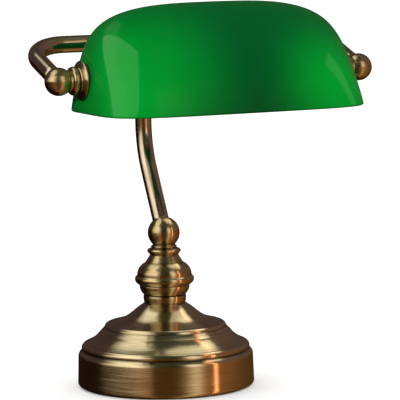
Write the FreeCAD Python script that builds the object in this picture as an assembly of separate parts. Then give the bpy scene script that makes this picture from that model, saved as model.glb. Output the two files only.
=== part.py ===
import FreeCAD, Part
import math
import os

# A banker's desk lamp: round weighted base, turned column, leaning stem, U-shaped yoke
# and a green glass shade that tilts on two side pivots. Millimetres, +Z up, the shade's
# open front towards -Y, origin at the centre of the felt under the base.

V = FreeCAD.Vector
ORIGIN = V(0, 0, 0)
X_AXIS = V(1, 0, 0)
Y_AXIS = V(0, 1, 0)
Z_AXIS = V(0, 0, 1)

# ---- driving dimensions -------------------------------------------------------------------

# Base
base_radius = 56.8
felt_radius = 54.0
felt_thickness = 2.0
shell_wall = 1.2
shell_mouth_radius = 54.6
shell_bottom_z = 0.5
shell_top_z = 53.4
weight_radius = 54.3
weight_top_z = 21.2
recess_radius = 34.0
recess_roof_z = 16.0
inlet_z = 9.5
inlet_radius = 3.3
inlet_sleeve_radius = 4.5
inlet_flange_radius = 6.4
cable_slot_width = 11.0

# Wiring space under the weight
base_washer_radius = 11.0
base_washer_thickness = 1.0
terminal_near_x = 12.0
terminal_size = (16.0, 17.0, 12.6)
terminal_screw_radius = 1.7
terminal_screw_spacing = 8.0
earth_screw_radius = 2.0
earth_screw_place = (-20.0, 0.0)
earth_tag_thickness = 0.6

# Threads are plain cylinders. M10x1 is used for the rod, the nipples and their nuts.
rod_radius = 5.0
rod_bore_radius = 3.5
thread_clearance = 0.05
loose_clearance = 0.2
nut_across_flats = 14.0
nut_height = 3.0
rod_bottom_z = 11.5
rod_top_z = 97.0

# Column
lower_vase_top_z = 65.4
waist_ring_top_z = 71.3
upper_vase_top_z = 84.6
neck_collar_top_z = 90.6
column_ball_radius = 10.3
column_neck_radius = 7.2
column_ball_z = 98.8

# Stem and yoke are the same tube
tube_radius = 5.34
tube_wall = 1.0
stem_lean_deg = 28.8
stem_back_y = 29.2
stem_first_bend = 62.7
stem_end_rise_deg = 16.0
stem_socket_depth = 5.8
yoke_rise_deg = 18.9
yoke_arm_length = 57.2
yoke_bend = 25.5
arm_socket_offset = 5.0

# Tilt axis of the shade, along X
pivot_y = -76.06
pivot_z = 205.2

# Side hardware, given as distances from the lamp's middle plane
side_ball_x = 101.7
side_ball_radius = 8.6
side_neck_x = 94.4
side_neck_radius = 6.6
side_collar_x = 90.4
side_collar_radius = 8.8
flange_outer_x = 90.1
flange_back_x = 86.8
flange_radius = 12.1
sleeve_radius = 7.0
sleeve_end_x = 76.6
inner_washer_x = 80.0
ring_nut_x = 77.0
ring_nut_radius = 11.0
wave_washer_x = 75.6
wave_washer_thickness = 0.7
nipple_inner_x = 70.0
nipple_outer_x = 98.0
wave_washer_radius = 8.6
outer_washer_radius = 10.4
inner_washer_radius = 10.2

# Glass shade
glass_wall = 3.0
glass_hole_radius = 7.3
glass_rim_z = 185.12
glass_top_z = 250.0
glass_half_length = 80.5
glass_half_length_flare = 6.9
glass_front_depth = 42.3
glass_front_flare = 14.2
glass_back_depth = 30.9
glass_back_flare = -1.3

# Lampholder and bulb, E14, along the tilt axis from the left nipple
holder_cap_x = -72.3
holder_base_x = -58.0
holder_floor_x = -54.0
holder_mouth_x = -30.0
holder_radius = 13.4
bulb_tip_x = -52.2
bulb_nose_x = 44.0
bulb_radius = 17.5

flex_radius = 2.0

# ---- places worked out from them ----------------------------------------------------------

pivot = V(0, pivot_y, pivot_z)
column_ball_centre = V(0, 0, column_ball_z)
column_bore = rod_radius + 0.1
bore_radius = tube_radius - tube_wall
terminal_floor_z = recess_roof_z - terminal_size[2]

yoke_rise = math.radians(yoke_rise_deg)
yoke_arm_direction = V(0, math.cos(yoke_rise), math.sin(yoke_rise))
yoke_bar_centre = pivot + yoke_arm_direction * yoke_arm_length

stem_lean = math.radians(stem_lean_deg)
stem_direction = V(0, math.sin(stem_lean), math.cos(stem_lean))
stem_foot_distance = math.sqrt(column_ball_radius ** 2 - tube_radius ** 2) - stem_socket_depth
stem_foot = column_ball_centre + stem_direction * stem_foot_distance
stem_first_corner = column_ball_centre + stem_direction * (stem_back_y / math.sin(stem_lean))
stem_end_rise = math.radians(stem_end_rise_deg)
stem_end_drop = (stem_back_y - yoke_bar_centre.y) * math.tan(stem_end_rise)
stem_second_corner = V(0, stem_back_y, yoke_bar_centre.z - stem_end_drop)
first_bend_reach = stem_first_bend * math.tan(stem_lean / 2)
second_bend_turn = math.pi / 2 - stem_end_rise
second_bend_reach = stem_second_corner.z - stem_first_corner.z - first_bend_reach
stem_second_bend = second_bend_reach / math.tan(second_bend_turn / 2)


# ---- helpers ------------------------------------------------------------------------------

def turned(*path):
    """Solid turned about Z. A tuple (r, z) is a corner, reached by a straight line. A list is
    a curve from the point before it: two points make an arc, more make a smooth curve."""
    edges = []
    here = V(path[0][0], 0, path[0][1])
    start = here
    for item in path[1:]:
        if isinstance(item, tuple):
            there = V(item[0], 0, item[1])
            edges.append(Part.LineSegment(here, there).toShape())
        else:
            points = [V(r, 0, z) for r, z in item]
            there = points[-1]
            if len(points) == 2:
                edges.append(Part.Arc(here, points[0], there).toShape())
            else:
                curve = Part.BSplineCurve()
                curve.interpolate([here] + points)
                edges.append(curve.toShape())
        here = there
    edges.append(Part.LineSegment(here, start).toShape())
    face = Part.Face(Part.Wire(edges))
    return face.revolve(ORIGIN, Z_AXIS, 360)


def ring(outer_radius, inner_radius, low, high):
    """Flat ring or plain sleeve about Z."""
    return turned((inner_radius, low), (outer_radius, low), (outer_radius, high), (inner_radius, high))


def rod(radius, start, end):
    """Round bar between two points."""
    return Part.makeCylinder(radius, (end - start).Length, start, end - start)


def hexagon(across_flats, low, high):
    """Hexagonal bar about Z."""
    corner = across_flats / math.sqrt(3)
    angles = [math.radians(60 * i + 30) for i in range(7)]
    points = [V(corner * math.cos(a), corner * math.sin(a), low) for a in angles]
    return Part.Face(Part.makePolygon(points)).extrude(Z_AXIS * (high - low))


def nut(low):
    """Hexagon nut about Z with chamfered corners and an M10 bore."""
    high = low + nut_height
    corner = nut_across_flats / math.sqrt(3)
    flat = nut_across_flats / 2
    chamfer = (corner - flat) * 0.6
    limit = turned((0, low), (flat, low), (corner, low + chamfer),
                   (corner, high - chamfer), (flat, high), (0, high))
    bore = rod(rod_radius + thread_clearance, V(0, 0, low - 1), V(0, 0, high + 1))
    return hexagon(nut_across_flats, low, high).common(limit).cut(bore)


def bent_bar(radius, points, bends):
    """Round bar along straight runs, rounded at each inner point by its bend radius."""
    pieces = []
    start = points[0]
    for before, corner, after, bend in zip(points, points[1:], points[2:], bends):
        arriving = (corner - before).normalize()
        leaving = (after - corner).normalize()
        turn = arriving.getAngle(leaving)
        reach = bend * math.tan(turn / 2)
        arc_start = corner - arriving * reach
        axis = arriving.cross(leaving).normalize()
        centre = arc_start + axis.cross(arriving) * bend
        disc = Part.Face(Part.Wire(Part.makeCircle(radius, arc_start, arriving)))
        if (arc_start - start).Length > 0.01:
            pieces.append(rod(radius, start, arc_start))
        pieces.append(disc.revolve(centre, axis, math.degrees(turn)))
        start = corner + leaving * reach
    pieces.append(rod(radius, start, points[-1]))
    return pieces[0].multiFuse(pieces[1:]).removeSplitter()


def along_pivot(shape):
    """Lay a shape that was turned about Z onto the tilt axis, its +Z towards +X."""
    laid = shape.copy()
    laid.rotate(ORIGIN, Y_AXIS, 90)
    laid.translate(pivot)
    return laid


def mirrored(shape):
    """The left-hand twin of a right-hand shape."""
    return shape.mirror(ORIGIN, X_AXIS)


# ---- base ---------------------------------------------------------------------------------

def dome_outline(inset):
    """The base shell's outline from the drum's top edge to its top, moved in and down."""
    path = [
        (56.3, 19.8),
        [(56.0, 21.4), (54.9, 22.9)],
        (53.9, 24.1),
        [(53.95, 26.2), (51.9, 27.95)],
        [(48.0, 30.0), (45.1, 32.1), (43.2, 34.0), (42.3, 35.2)],
        (41.4, 35.9),
        (39.2, 38.4),
        [(38.6, 39.9), (36.9, 40.8)],
        [(32.4, 42.0), (26.7, 44.0), (22.0, 47.0), (18.3, 50.1), (14.2, 53.0)],
        (13.4, shell_top_z),
    ]
    moved = []
    for item in path:
        if isinstance(item, tuple):
            moved.append((item[0] - inset, item[1] - inset))
        else:
            moved.append([(r - inset, z - inset) for r, z in item])
    return moved


def base_shell_outside():
    rolled_edge = [(56.1, 1.2), (base_radius, 2.7)]
    return turned((0, shell_bottom_z), (shell_mouth_radius, shell_bottom_z), rolled_edge,
                  *dome_outline(0), (0, shell_top_z))


def base_shell_inside():
    wall_radius = base_radius - shell_wall
    return turned((0, -1), (shell_mouth_radius, -1), (shell_mouth_radius, 1.6), (wall_radius, 2.7),
                  *dome_outline(shell_wall), (0, shell_top_z - shell_wall))


def base_shell():
    shell = base_shell_outside().cut(base_shell_inside())
    rod_hole = rod(rod_radius + loose_clearance, V(0, 0, shell_top_z - 3), V(0, 0, shell_top_z + 1))
    inlet_hole = rod(inlet_sleeve_radius, V(0, base_radius - 6, inlet_z), V(0, base_radius + 6, inlet_z))
    return shell.cut(rod_hole).cut(inlet_hole)


def base_weight():
    """Cast-iron disc that bears up against the shell's shoulder, hollow underneath for the wiring."""
    disc = Part.makeCylinder(weight_radius, weight_top_z - felt_thickness, V(0, 0, felt_thickness))
    disc = disc.common(base_shell_inside())
    recess = rod(recess_radius, V(0, 0, 0), V(0, 0, recess_roof_z))
    rod_hole = rod(rod_radius + loose_clearance, V(0, 0, 0), V(0, 0, weight_top_z + 1))
    cable_slot = Part.makeBox(cable_slot_width, weight_radius, recess_roof_z - 1,
                              V(-cable_slot_width / 2, recess_radius - 4, 0))
    earth_hole_top = V(*earth_screw_place, weight_top_z - 0.5)
    earth_hole = rod(earth_screw_radius, V(*earth_screw_place, 0), earth_hole_top)
    return disc.cut(recess).cut(rod_hole).cut(cable_slot).cut(earth_hole)


def felt_pad():
    return Part.makeCylinder(felt_radius, felt_thickness)


def cable_bushing():
    """Snap-in bushing in the back of the drum, its outer flange seated on the drum's wall."""
    lip_thickness = 1.3
    outer_end = base_radius + 1.3
    inner_end = base_radius - 5.5
    flange = rod(inlet_flange_radius, V(0, base_radius - 3, inlet_z), V(0, outer_end, inlet_z))
    flange = flange.cut(base_shell_outside())
    sleeve = rod(inlet_sleeve_radius - thread_clearance, V(0, inner_end, inlet_z), V(0, base_radius, inlet_z))
    lip = rod(inlet_sleeve_radius + 0.6, V(0, inner_end, inlet_z), V(0, inner_end + lip_thickness, inlet_z))
    bore = rod(inlet_radius, V(0, inner_end - 1, inlet_z), V(0, outer_end + 1, inlet_z))
    return flange.fuse([sleeve, lip]).cut(bore).removeSplitter()


def terminal_screw_places():
    middle_x = terminal_near_x + terminal_size[0] / 2
    offsets = (-terminal_screw_spacing / 2, terminal_screw_spacing / 2)
    return [V(middle_x + dx, dy, terminal_floor_z) for dx in offsets for dy in offsets]


def terminal_block():
    """Two-pole block hanging from the roof of the recess, its screws facing down."""
    width, depth, height = terminal_size
    block = Part.makeBox(width, depth, height, V(terminal_near_x, -depth / 2, terminal_floor_z))
    upright = [edge for edge in block.Edges if abs(edge.tangentAt(edge.FirstParameter).z) > 0.9]
    block = block.makeFillet(1.2, upright)
    groove = Part.makeBox(width + 2, 1.2, 5, V(terminal_near_x - 1, -0.6, terminal_floor_z - 1))
    block = block.cut(groove)
    for place in terminal_screw_places():
        block = block.cut(rod(terminal_screw_radius + 0.2, place - Z_AXIS, place + Z_AXIS * 6))
    return block


def terminal_screws():
    screws = []
    for place in terminal_screw_places():
        head = place + Z_AXIS * 0.8
        slot = Part.makeBox(0.7, 4, 0.8, head - V(0.35, 2, 0))
        screws.append(rod(terminal_screw_radius, head, head + Z_AXIS * 4.5).cut(slot))
    return Part.makeCompound(screws)


def earth_screw():
    """Pan-head screw up into the weight, holding the earth tag against the recess roof."""
    place = V(*earth_screw_place, recess_roof_z - earth_tag_thickness)
    head = turned((0, -2.4), (2.4, -2.4), [(3.4, -1.9), (3.8, -1.0)], (3.8, 0), (0, 0))
    head.translate(place)
    slot = Part.makeBox(1.0, 9, 1.2, place - V(0.5, 4.5, 2.4))
    shank = rod(earth_screw_radius - thread_clearance, place, place + Z_AXIS * 5)
    return head.fuse(shank).cut(slot).removeSplitter()


def earth_tag():
    """Ring tag of the earth wire."""
    low = recess_roof_z - earth_tag_thickness
    eye = ring(4.2, earth_screw_radius + 0.1, low, recess_roof_z)
    eye.translate(V(*earth_screw_place, 0))
    tail = Part.makeBox(3, 9, earth_tag_thickness, V(earth_screw_place[0] - 1.5, 3.4, low))
    return eye.fuse(tail).removeSplitter()


# ---- column -------------------------------------------------------------------------------

def lower_vase():
    bottom = shell_top_z
    return turned((column_bore, bottom), (13.0, bottom), [(13.75, 56.3), (13.55, 58.7)],
                  (13.3, 59.0), [(15.25, 61.3), (16.1, 64.9)], (15.8, lower_vase_top_z),
                  (column_bore, lower_vase_top_z))


def waist_ring():
    return turned((column_bore, lower_vase_top_z), (16.4, lower_vase_top_z),
                  [(17.5, 66.1), (18.4, 66.95), (19.05, 68.6), (18.85, 70.1), (17.9, waist_ring_top_z)],
                  (column_bore, waist_ring_top_z))


def upper_vase():
    return turned((column_bore, waist_ring_top_z), (17.5, waist_ring_top_z),
                  [(17.4, 73.3), (16.3, 76.1), (14.3, 78.4), (12.5, 79.6)],
                  (12.0, 79.9), [(10.7, 82.1), (9.1, upper_vase_top_z)],
                  (column_bore, upper_vase_top_z))


def neck_collar():
    bead_top = 88.4
    return turned((column_bore, upper_vase_top_z), (9.1, upper_vase_top_z),
                  (10.2, 86.2), [(10.85, 87.3), (10.2, bead_top)],
                  [(8.9, 88.9), (8.1, 89.6)], [(8.3, 90.1), (8.0, neck_collar_top_z)],
                  (column_bore, neck_collar_top_z))


def column_ball():
    """Ball on a short neck, with the rod's socket below and the stem's leaning socket above."""
    ball = Part.makeSphere(column_ball_radius, column_ball_centre)
    neck = rod(column_neck_radius, V(0, 0, neck_collar_top_z), column_ball_centre)
    flat = Part.makeBox(40, 40, 20, V(-20, -20, neck_collar_top_z - 20))
    rod_socket = rod(column_bore, V(0, 0, neck_collar_top_z - 1), V(0, 0, rod_top_z))
    stem_socket = rod(tube_radius + thread_clearance, stem_foot, column_ball_centre + stem_direction * 20)
    wire_way = rod(rod_bore_radius, V(0, 0, rod_top_z - 1), column_ball_centre)
    wire_way = wire_way.fuse([
        Part.makeSphere(rod_bore_radius, column_ball_centre),
        rod(rod_bore_radius, column_ball_centre, column_ball_centre + stem_direction * 6),
    ])
    return ball.fuse(neck).cut(flat).cut(rod_socket).cut(stem_socket).cut(wire_way).removeSplitter()


def threaded_rod():
    return ring(rod_radius, rod_bore_radius, rod_bottom_z, rod_top_z)


def base_nut():
    return nut(recess_roof_z - base_washer_thickness - nut_height)


def base_washer():
    low = recess_roof_z - base_washer_thickness
    return ring(base_washer_radius, rod_radius + loose_clearance, low, recess_roof_z)


# ---- stem and yoke ------------------------------------------------------------------------

def yoke_points():
    """Ends of the arms at the side balls, and the two corners of the U."""
    arm_end = pivot + yoke_arm_direction * arm_socket_offset
    side = X_AXIS * side_ball_x
    return [arm_end - side, yoke_bar_centre - side, yoke_bar_centre + side, arm_end + side]


def yoke_tube():
    bends = [yoke_bend, yoke_bend]
    tube = bent_bar(tube_radius, yoke_points(), bends).cut(bent_bar(bore_radius, yoke_points(), bends))
    end_direction = (yoke_bar_centre - stem_second_corner).normalize()
    wire_hole = rod(bore_radius, yoke_bar_centre - end_direction * 10, yoke_bar_centre)
    return tube.cut(wire_hole)


def stem_tube():
    """Tube from the column ball to the yoke's bar, its top end shaped to the bar."""
    points = [stem_foot, stem_first_corner, stem_second_corner, yoke_bar_centre]
    bends = [stem_first_bend, stem_second_bend]
    tube = bent_bar(tube_radius, points, bends).cut(bent_bar(bore_radius, points, bends))
    reach = X_AXIS * 20
    saddle = rod(tube_radius + thread_clearance, yoke_bar_centre - reach, yoke_bar_centre + reach)
    return tube.cut(saddle)


def inner_flex():
    """Sheathed pair of wires from the terminal block, up the rod and stem, to the lampholder."""
    left_ball = pivot - X_AXIS * side_ball_x
    points = [
        V(terminal_near_x, 0, 5.0),
        V(0, 0, 5.0),
        column_ball_centre,
        stem_first_corner,
        stem_second_corner,
        yoke_bar_centre,
        yoke_bar_centre - X_AXIS * side_ball_x,
        left_ball,
        V(holder_base_x, pivot_y, pivot_z),
    ]
    bends = [6.5, 15.0, stem_first_bend, stem_second_bend, 8.0, yoke_bend, 6.0]
    return bent_bar(flex_radius, points, bends)


# ---- pivots -------------------------------------------------------------------------------

def side_ball():
    """Right-hand ball, soldered on the yoke's arm and threaded for the nipple."""
    ball = Part.makeSphere(side_ball_radius, V(0, 0, side_ball_x))
    neck = rod(side_neck_radius, V(0, 0, side_neck_x), V(0, 0, side_ball_x))
    ball_inner_x = side_ball_x - side_ball_radius
    nipple_bore = rod(rod_radius + thread_clearance, V(0, 0, ball_inner_x - 1), V(0, 0, nipple_outer_x))
    wire_way = rod(rod_bore_radius, V(0, 0, nipple_outer_x - 1), V(0, 0, side_ball_x))
    piece = along_pivot(ball.fuse(neck).cut(nipple_bore).cut(wire_way))
    centre = pivot + X_AXIS * side_ball_x
    socket_floor = centre + yoke_arm_direction * arm_socket_offset
    socket = rod(tube_radius + thread_clearance, socket_floor, centre + yoke_arm_direction * 20)
    arm_wire_way = rod(bore_radius, centre - yoke_arm_direction * 2.5, socket_floor)
    return piece.cut(socket).cut(arm_wire_way).removeSplitter()


def side_collar():
    """Turned ring between the ball and the flange."""
    middle = (side_collar_x + side_neck_x) / 2
    bore = rod_radius + thread_clearance
    shoulder = side_collar_radius - 1.3
    return along_pivot(turned((bore, side_collar_x), (shoulder, side_collar_x),
                              [(side_collar_radius, middle), (shoulder, side_neck_x)], (bore, side_neck_x)))


def nipple():
    return along_pivot(ring(rod_radius, rod_bore_radius, nipple_inner_x, nipple_outer_x))


def flange():
    """Cover disc with the sleeve that passes through the glass and turns on the nipple."""
    bore = rod_radius + thread_clearance
    return along_pivot(turned(
        (bore, sleeve_end_x), (sleeve_radius, sleeve_end_x), (sleeve_radius, flange_back_x),
        (flange_radius - 0.4, flange_back_x), [(flange_radius, flange_back_x + 0.45),
                                               (flange_radius - 0.25, flange_back_x + 1.0)],
        [(10.6, 88.7), (8.7, 89.5)], (8.2, flange_outer_x), (bore, flange_outer_x)))


def ring_nut():
    """Round nut with four spanner slots that clamps the glass on the sleeve."""
    body = ring(ring_nut_radius, sleeve_radius + thread_clearance, ring_nut_x, inner_washer_x)
    for turn in range(4):
        slot = Part.makeBox(3, 3, 2, V(ring_nut_radius - 2, -1.5, ring_nut_x - 0.5))
        slot.rotate(ORIGIN, Z_AXIS, 90 * turn)
        body = body.cut(slot)
    return along_pivot(body)


def wave_washer():
    outer_face_x = wave_washer_x + wave_washer_thickness
    return along_pivot(ring(wave_washer_radius, rod_radius + loose_clearance, wave_washer_x, outer_face_x))


def pivot_nut():
    return along_pivot(nut(wave_washer_x - nut_height))


def outer_washers(glass_outside):
    """Rubber wedges, right and left, between the flanges and the leaning end walls of the glass."""
    bore = sleeve_radius + thread_clearance
    blank = along_pivot(ring(outer_washer_radius, bore, flange_back_x - 5, flange_back_x))
    return blank.cut(glass_outside), mirrored(blank).cut(glass_outside)


def inner_washers(glass_inside):
    """Rubber wedges, right and left, between the glass and the ring nuts."""
    bore = sleeve_radius + thread_clearance
    blank = along_pivot(ring(inner_washer_radius, bore, inner_washer_x, inner_washer_x + 6))
    return blank.common(glass_inside), mirrored(blank).common(glass_inside)


# ---- glass shade --------------------------------------------------------------------------

def glass_section(level, inset):
    """Level outline of the glass: a rounded oblong, deeper in front of the pivot than behind."""
    rise = 1 - level
    end_closing = (1 - level ** 6.3) ** (1 / 3.1)
    side_closing = (1 - level ** 1.92) ** (1 / 1.79)
    half_length = (glass_half_length - inset + glass_half_length_flare * rise) * end_closing
    front = (glass_front_depth - inset + glass_front_flare * rise) * side_closing
    back = (glass_back_depth - inset + glass_back_flare * rise) * side_closing
    front_squareness = 2.4 + 2.7 * rise
    back_squareness = 1.9 + 3.9 * rise
    height = glass_rim_z + (glass_top_z - inset - glass_rim_z) * level
    points = []
    for step in range(72):
        angle = math.radians(5 * step)
        c = math.cos(angle)
        s = math.sin(angle)
        depth = back if s > 0 else front
        power = back_squareness if s > 0 else front_squareness
        reach = (abs(c) ** power + abs(s) ** power) ** (-1 / power)
        points.append(V(half_length * c * reach, pivot_y + depth * s * reach, height))
    curve = Part.BSplineCurve()
    curve.interpolate(Points=points, PeriodicFlag=True)
    return Part.Wire(curve.toShape())


def glass_body(inset):
    """The glass's outside, or its inside when inset by the wall, as a closed solid."""
    crown = math.radians(87)
    steps = 14
    levels = [math.sin(crown * i / steps) for i in range(steps + 1)]
    return Part.makeLoft([glass_section(level, inset) for level in levels], True)


def glass_shade(outside, inside):
    holes = rod(glass_hole_radius, pivot - X_AXIS * 100, pivot + X_AXIS * 100)
    return outside.cut(inside).cut(holes)


# ---- lampholder and bulb ------------------------------------------------------------------

def holder_cap():
    """Domed cap, screwed on the end of the left nipple."""
    bore = rod_radius + thread_clearance
    return along_pivot(turned(
        (bore, holder_cap_x), (8.5, holder_cap_x), [(12.2, -70.6), (holder_radius, -67.0)],
        (holder_radius, holder_base_x), (11.4, holder_base_x), (11.4, -67.5), (bore, -67.5)))


def holder_body():
    groove = holder_radius - 0.8
    return along_pivot(turned(
        (0, holder_base_x), (holder_radius, holder_base_x), (holder_radius, -52.0), (groove, -51.0),
        (groove, -47.0), (holder_radius, -46.0), (holder_radius, -31.2),
        (holder_radius - 1.2, holder_mouth_x), (7.75, holder_mouth_x), (7.75, holder_floor_x),
        (0, holder_floor_x)))


def holder_thread():
    return along_pivot(ring(7.7, 7.15, -50.0, holder_mouth_x - 1))


def holder_contact():
    return along_pivot(turned((0, holder_floor_x), (3.2, holder_floor_x), (3.2, -53.5), (2.0, bulb_tip_x),
                              (0, bulb_tip_x)))


def bulb_cap():
    """Screw cap of the bulb with rounded threads and the contact pip."""
    thread_start = -48.0
    pitch = 2.8
    path = [(0, bulb_tip_x), (2.3, bulb_tip_x), [(2.6, -51.7), (2.3, -51.2)], (5.9, -49.4), (6.5, thread_start)]
    for i in range(6):
        low = thread_start + pitch * i
        path.append([(7.0, low + pitch / 2), (6.5, low + pitch)])
    return along_pivot(turned(*path, (6.8, -29.4), (6.45, -29.0), (6.1, -29.0), (6.1, -46.5), (0, -46.5)))


def bulb_glass():
    """Candle-shaped bulb, thin-walled, its neck inside the cap."""
    wall = 0.9
    neck = 6.0
    nose = bulb_nose_x
    waist = bulb_radius
    return along_pivot(turned(
        (neck - wall, -35.0), (neck, -35.0), (neck, -28.6),
        [(8.6, -24.0), (14.3, -12.0), (waist, 3.0), (14.8, 22.0), (8.2, 36.0), (3.2, 42.6), (0, nose)],
        (0, nose - wall),
        [(2.6, 41.7), (7.3, 35.5), (13.9, 21.7), (waist - wall, 3.0), (13.5, -11.6), (7.9, -23.3),
         (neck - wall, -28.2)]))


# ---- write the parts ----------------------------------------------------------------------

def build():
    """Every sub-part by its node name."""
    outside = glass_body(0)
    inside = glass_body(glass_wall)
    parts = {
        "felt_pad": felt_pad(),
        "base_weight": base_weight(),
        "base_shell": base_shell(),
        "base_nut": base_nut(),
        "base_washer": base_washer(),
        "threaded_rod": threaded_rod(),
        "cable_bushing": cable_bushing(),
        "terminal_block": terminal_block(),
        "terminal_screws": terminal_screws(),
        "earth_screw": earth_screw(),
        "earth_tag": earth_tag(),
        "lower_vase": lower_vase(),
        "waist_ring": waist_ring(),
        "upper_vase": upper_vase(),
        "neck_collar": neck_collar(),
        "column_ball": column_ball(),
        "stem_tube": stem_tube(),
        "yoke_tube": yoke_tube(),
        "inner_flex": inner_flex(),
        "lampholder_cap": holder_cap(),
        "lampholder_body": holder_body(),
        "lampholder_thread": holder_thread(),
        "lampholder_contact": holder_contact(),
        "bulb_cap": bulb_cap(),
        "bulb_glass": bulb_glass(),
        "glass_shade": glass_shade(outside, inside),
    }
    paired = {
        "side_ball": side_ball(),
        "side_collar": side_collar(),
        "nipple": nipple(),
        "wave_washer": wave_washer(),
        "pivot_nut": pivot_nut(),
        "flange": flange(),
        "ring_nut": ring_nut(),
    }
    for name, shape in paired.items():
        parts[name + "_right"] = shape
        parts[name + "_left"] = mirrored(shape)
    parts["outer_washer_right"], parts["outer_washer_left"] = outer_washers(outside)
    parts["inner_washer_right"], parts["inner_washer_left"] = inner_washers(inside)
    return parts


os.makedirs("parts", exist_ok=True)
for name, shape in build().items():
    shape.exportStep("parts/" + name + ".step")
    volume = shape.Volume / 1000
    print(f"{name}: {len(shape.Solids)} solid(s), {volume:.2f} cm3, valid {shape.isValid()}")
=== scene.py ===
import math

import bpy
from mathutils import Matrix, Vector


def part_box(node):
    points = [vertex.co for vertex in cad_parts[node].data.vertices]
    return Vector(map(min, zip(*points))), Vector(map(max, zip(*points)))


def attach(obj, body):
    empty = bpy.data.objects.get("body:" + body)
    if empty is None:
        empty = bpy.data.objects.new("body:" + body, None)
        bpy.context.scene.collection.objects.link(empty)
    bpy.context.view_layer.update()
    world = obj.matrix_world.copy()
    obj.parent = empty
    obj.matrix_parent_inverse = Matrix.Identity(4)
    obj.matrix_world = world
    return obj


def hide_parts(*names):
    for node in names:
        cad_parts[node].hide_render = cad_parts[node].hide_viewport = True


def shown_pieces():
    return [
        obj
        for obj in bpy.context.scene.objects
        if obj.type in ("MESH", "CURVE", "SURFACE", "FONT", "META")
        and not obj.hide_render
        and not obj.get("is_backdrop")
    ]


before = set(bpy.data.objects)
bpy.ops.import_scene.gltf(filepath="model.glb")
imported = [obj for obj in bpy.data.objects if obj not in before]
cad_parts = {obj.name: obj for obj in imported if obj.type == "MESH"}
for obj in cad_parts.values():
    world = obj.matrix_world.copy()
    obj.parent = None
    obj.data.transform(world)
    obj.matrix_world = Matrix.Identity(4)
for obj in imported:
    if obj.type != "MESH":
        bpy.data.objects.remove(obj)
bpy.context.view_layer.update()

# A banker's desk lamp: brushed antique-brass base and column, polished bent tubes and a green
# cased-glass shade. Outlines are in millimetres, their places come from the frame's nodes, and
# every mesh is in metres.

MM = 0.001
UP = Vector((0, 0, 1))
RIGHTWARDS = Vector((1, 0, 0))

# ---- places, from the frame ----


def low(node):
    """A node's lowest corner in millimetres."""
    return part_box(node)[0] / MM


def high(node):
    """A node's highest corner in millimetres."""
    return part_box(node)[1] / MM


def middle(node):
    """The middle of a node's box in millimetres."""
    return (low(node) + high(node)) / 2


tube_radius = 5.34
yoke_rise = math.radians(18.9)
yoke_arm_length = 57.2
yoke_bend = 25.5
stem_lean = math.radians(28.8)
stem_first_bend = 62.7
stem_end_rise = math.radians(16.0)
ball_centre_height = 8.2

base_radius = high("base_shell").x
shell_top = high("base_shell").z
pivot = Vector((0, middle("ring_nut_right").y, middle("ring_nut_right").z))
side_x = high("yoke_tube").x - tube_radius
yoke_direction = Vector((0, math.cos(yoke_rise), math.sin(yoke_rise)))
yoke_bar = pivot + yoke_direction * yoke_arm_length
ball_radius = high("column_ball").x
ball_centre = Vector((0, 0, low("column_ball").z + ball_centre_height))
side_ball_radius = high("side_ball_right").x - side_x

stem_back_y = high("stem_tube").y - tube_radius
stem_direction = Vector((0, math.sin(stem_lean), math.cos(stem_lean)))
stem_corner = ball_centre + stem_direction * (stem_back_y / math.sin(stem_lean))
stem_end_drop = (stem_back_y - yoke_bar.y) * math.tan(stem_end_rise)
stem_top_corner = Vector((0, stem_back_y, yoke_bar.z - stem_end_drop))
stem_top_reach = stem_top_corner.z - stem_corner.z - stem_first_bend * math.tan(stem_lean / 2)
stem_second_bend = stem_top_reach / math.tan((math.pi / 2 - stem_end_rise) / 2)


# ---- outlines ----

CURVE_STEP = 0.45
LINE_STEP = 1.2
EDGE = 0.22
TINY = 1e-6
SHARP_TURN = math.radians(16)


def arc_points(a, b, c):
    """Points along the arc from a through b to c, after a."""
    ax, ay = a
    bx, by = b
    cx, cy = c
    d = 2 * (ax * (by - cy) + bx * (cy - ay) + cx * (ay - by))
    sa, sb, sc = ax * ax + ay * ay, bx * bx + by * by, cx * cx + cy * cy
    ux = (sa * (by - cy) + sb * (cy - ay) + sc * (ay - by)) / d
    uy = (sa * (cx - bx) + sb * (ax - cx) + sc * (bx - ax)) / d
    radius = math.hypot(ax - ux, ay - uy)
    start = math.atan2(ay - uy, ax - ux)
    through = (math.atan2(by - uy, bx - ux) - start) % math.tau
    sweep = (math.atan2(cy - uy, cx - ux) - start) % math.tau
    if through > sweep:
        sweep -= math.tau
    count = max(4, round(abs(sweep) * radius / CURVE_STEP))
    angles = [start + sweep * i / count for i in range(1, count + 1)]
    return [(ux + radius * math.cos(t), uy + radius * math.sin(t)) for t in angles]


def spline_points(knots):
    """Points along a smooth curve through the knots, after the first."""
    before_first = tuple(2 * knots[0][i] - knots[1][i] for i in (0, 1))
    after_last = tuple(2 * knots[-1][i] - knots[-2][i] for i in (0, 1))
    row = [before_first] + knots + [after_last]
    points = []
    for p0, p1, p2, p3 in zip(row, row[1:], row[2:], row[3:]):
        count = max(3, round(math.dist(p1, p2) / CURVE_STEP))
        gaps = [math.dist(a, b) ** 0.5 for a, b in ((p0, p1), (p1, p2), (p2, p3))]
        for step in range(1, count + 1):
            t = step / count
            point = []
            for i in (0, 1):
                leave = (p1[i] - p0[i]) / gaps[0] - (p2[i] - p0[i]) / (gaps[0] + gaps[1])
                leave = (leave + (p2[i] - p1[i]) / gaps[1]) * gaps[1]
                arrive = (p2[i] - p1[i]) / gaps[1] - (p3[i] - p1[i]) / (gaps[1] + gaps[2])
                arrive = (arrive + (p3[i] - p2[i]) / gaps[2]) * gaps[1]
                point.append(
                    (2 * t**3 - 3 * t**2 + 1) * p1[i]
                    + (t**3 - 2 * t**2 + t) * leave
                    + (3 * t**2 - 2 * t**3) * p2[i]
                    + (t**3 - t**2) * arrive
                )
            points.append(tuple(point))
    return points


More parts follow.
